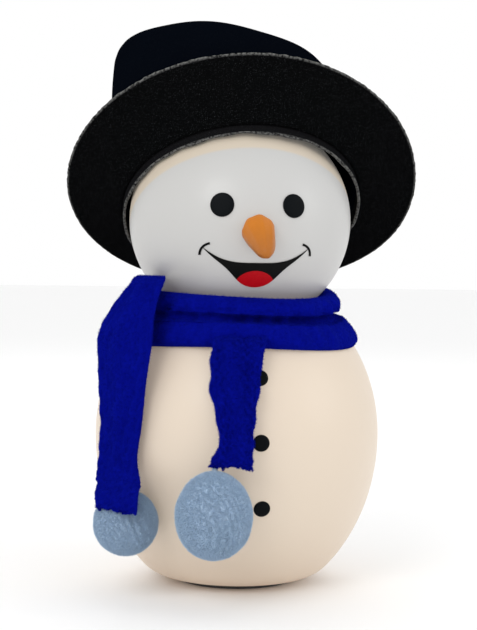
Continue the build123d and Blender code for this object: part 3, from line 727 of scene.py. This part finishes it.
def nap(name, piece, finish, count, reach, thickness, lean, seed, keep=None):
    """Short fibres standing on a piece: each is a thin three-sided spike at a random place, its length between
    half and all of reach, leaning a random way by up to lean. keep(points) can leave some out."""
    draw = np.random.default_rng(seed)
    mesh = piece.data
    mesh.calc_loop_triangles()
    members = np.empty(len(mesh.loop_triangles) * 3, int)
    mesh.loop_triangles.foreach_get("vertices", members)
    points = np.empty(len(mesh.vertices) * 3)
    mesh.vertices.foreach_get("co", points)
    a, b, c = points.reshape(-1, 3)[members.reshape(-1, 3)].transpose(1, 0, 2)
    normal = np.cross(b - a, c - a)
    area = np.linalg.norm(normal, axis=1)
    pick = draw.choice(len(area), count, p=area / area.sum())
    u, v = draw.random((2, count, 1))
    u, v = np.where(u + v > 1, 1 - u, u), np.where(u + v > 1, 1 - v, v)
    root = a[pick] + u * (b - a)[pick] + v * (c - a)[pick]
    way = normal[pick] / np.maximum(area[pick], 1e-12)[:, None]
    if keep is not None:
        kept = keep(root, way)
        root, way = root[kept], way[kept]
    stray = draw.normal(0, 1, root.shape)
    lift = way + lean * stray / np.linalg.norm(stray, axis=1, keepdims=True)
    lift /= np.linalg.norm(lift, axis=1, keepdims=True)
    first = np.cross(lift, stray)
    first /= np.linalg.norm(first, axis=1, keepdims=True)
    second = np.cross(lift, first)
    long = reach * draw.uniform(0.5, 1.0, (len(root), 1)) * 0.001
    wide = thickness * 0.0005
    corners = [math.cos(k) * first + math.sin(k) * second for k in (0, 2.094, 4.189)]
    base = [root - lift * 0.0002 + wide * corner for corner in corners]
    bow = 0.25 * long * second
    spikes = np.stack([*base, root + lift * long + bow], axis=1).reshape(-1, 3)
    four = 4 * np.arange(len(root))[:, None]
    faces = np.concatenate([four + [0, 1, 3], four + [1, 2, 3], four + [2, 0, 3]])
    fibres = bpy.data.meshes.new(name)
    fibres.from_pydata(spikes.tolist(), [], faces.tolist())
    # 0 at a fibre's root and 1 at its tip; the fibre finishes use it to paint the roots darker, as painted shade
    # among the fibres.
    tip = fibres.attributes.new("tip", "FLOAT", "POINT")
    tip.data.foreach_set("value", np.tile([0, 0, 0, 1.0], len(root)).astype(np.float32))
    fibres.materials.append(finish.material)
    made = bpy.data.objects.new(name, fibres)
    bpy.context.scene.collection.objects.link(made)
    return made


fleece_fibre = Finish("blue_fleece_fibre", base_color=(0.002, 0.006, 0.26), roughness=0.9,
                      specular_ior_level=0.0)
# Painted shade among the fibres: each fleece fibre is darker at its root and paler at its tip.
fleece_fibre.wear(base_color=fleece_fibre.mix(fleece_fibre.mark("tip") * 0.7 + fleece_fibre.noise(300.0) * 0.3,
                                              (0.0008, 0.0016, 0.13), (0.004, 0.011, 0.36)))
wrap_nap = nap("scarf_neck_wrap_nap", wrap, fleece_fibre, 42000, 1.1, 0.22, 0.8, 41,
               keep=lambda p, n: np.linalg.norm(p[:, :2], axis=1) > 0.050)
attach(wrap_nap, "root")

for name, azimuth, rows, seed, fold, ragged, body, node, start, end, flat in tails:
    turn = math.radians(azimuth)
    tail = surface(name, hanging_tail(turn, rows, seed, fold, ragged), fleece_blue, loop_columns=True)
    tail_nap = nap(name + "_nap", tail, fleece_fibre, 22000, 1.2, 0.22, 0.8, seed + 5)
    for piece in (tail, tail_nap):
        ends = [tuple(outward(np.array(turn)) * r * 0.001 + np.array([0, 0, z * 0.001]))
                for r, z in (start, end)]
        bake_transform(piece)
    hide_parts(node)

# --- pompoms ----------------------------------------------------------------------------------------------
# Two balls of short pale blue plush, each tied to the end of its scarf tail by a loop of yarn. The left one is
# round, the middle one is bigger and slightly egg-shaped.
plush = Finish("pompom_plush", base_color=(0.27, 0.34, 0.48), roughness=0.95, sheen_weight=0.3,
               sheen_roughness=0.5, specular_ior_level=0.1)
plush_tone = plush.noise(60.0, 3.0) * 0.6 + plush.noise(900.0, 2.0) * 0.4
plush.wear(base_color=plush.mix(plush_tone, (0.31, 0.43, 0.55), (0.41, 0.51, 0.66)))
plush.bump(plush.noise(700.0, 4.0), 0.0003, 0.5)
plush_fibre = Finish("pompom_fibre", base_color=(0.27, 0.34, 0.48), roughness=0.9, specular_ior_level=0.1)
# Painted shade among the fibres: each plush fibre is darker at its root and paler at its tip.
plush_fibre.wear(base_color=plush_fibre.mix(plush_fibre.mark("tip") * 0.6 + plush_fibre.noise(60.0, 3.0) * 0.5,
                                            (0.29, 0.41, 0.54), (0.47, 0.59, 0.73)))


def ball(centre, radius, tall, egg, seed):
    """An ellipsoid, r = R (1 + egg sin e) cos e at an elevation e, with soft lumps."""
    lift = np.linspace(-np.pi / 2, np.pi / 2, 72)[:, None]
    turn = np.linspace(0, 2 * np.pi, 144, endpoint=False)[None, :]
    level = np.cos(lift)
    way = np.stack([level * np.cos(turn), level * np.sin(turn), np.sin(lift) + 0 * turn], axis=-1)
    lumps = 1 + 0.012 * ripple(5 * way[..., 0] + 2 * way[..., 2], 5 * way[..., 1], seed) * level
    girth = radius * (1 + egg * way[..., 2])
    size = np.stack([girth, girth, tall + 0 * girth], axis=-1)
    return np.array(centre) + way * size * lumps[..., None]


pompoms = (
    ("pompom_left_plush", "left_pompom", "pompom_left", "pompom_tie_left",
     50.0, 96.2, -2.0, 45.0, 17.3, 17.7, 0.0, 51, 45000),
    ("pompom_centre_plush", "centre_pompom", "pompom_centre", "pompom_tie_centre",
     11.0, 103.6, 8.6, 54.4, 20.3, 23.4, -0.03, 61, 60000),
)
for name, body, node, tie, azimuth, out, shift, height, radius, tall, egg, seed, count in pompoms:
    turn = math.radians(azimuth)
    centre = (out * outward(np.array(turn)) + shift * outward(np.array(turn + np.pi / 2)) + (0, 0, height))
    pad = surface(name, ball(centre, radius, tall, egg, seed), plush, loop_columns=True)
    pile = nap(name + "_pile", pad, plush_fibre, count, 1.5, 0.24, 0.7, seed + 5)
    for piece in (pad, pile):
        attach(piece, body)
    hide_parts(node)
    dress(tie, plush)
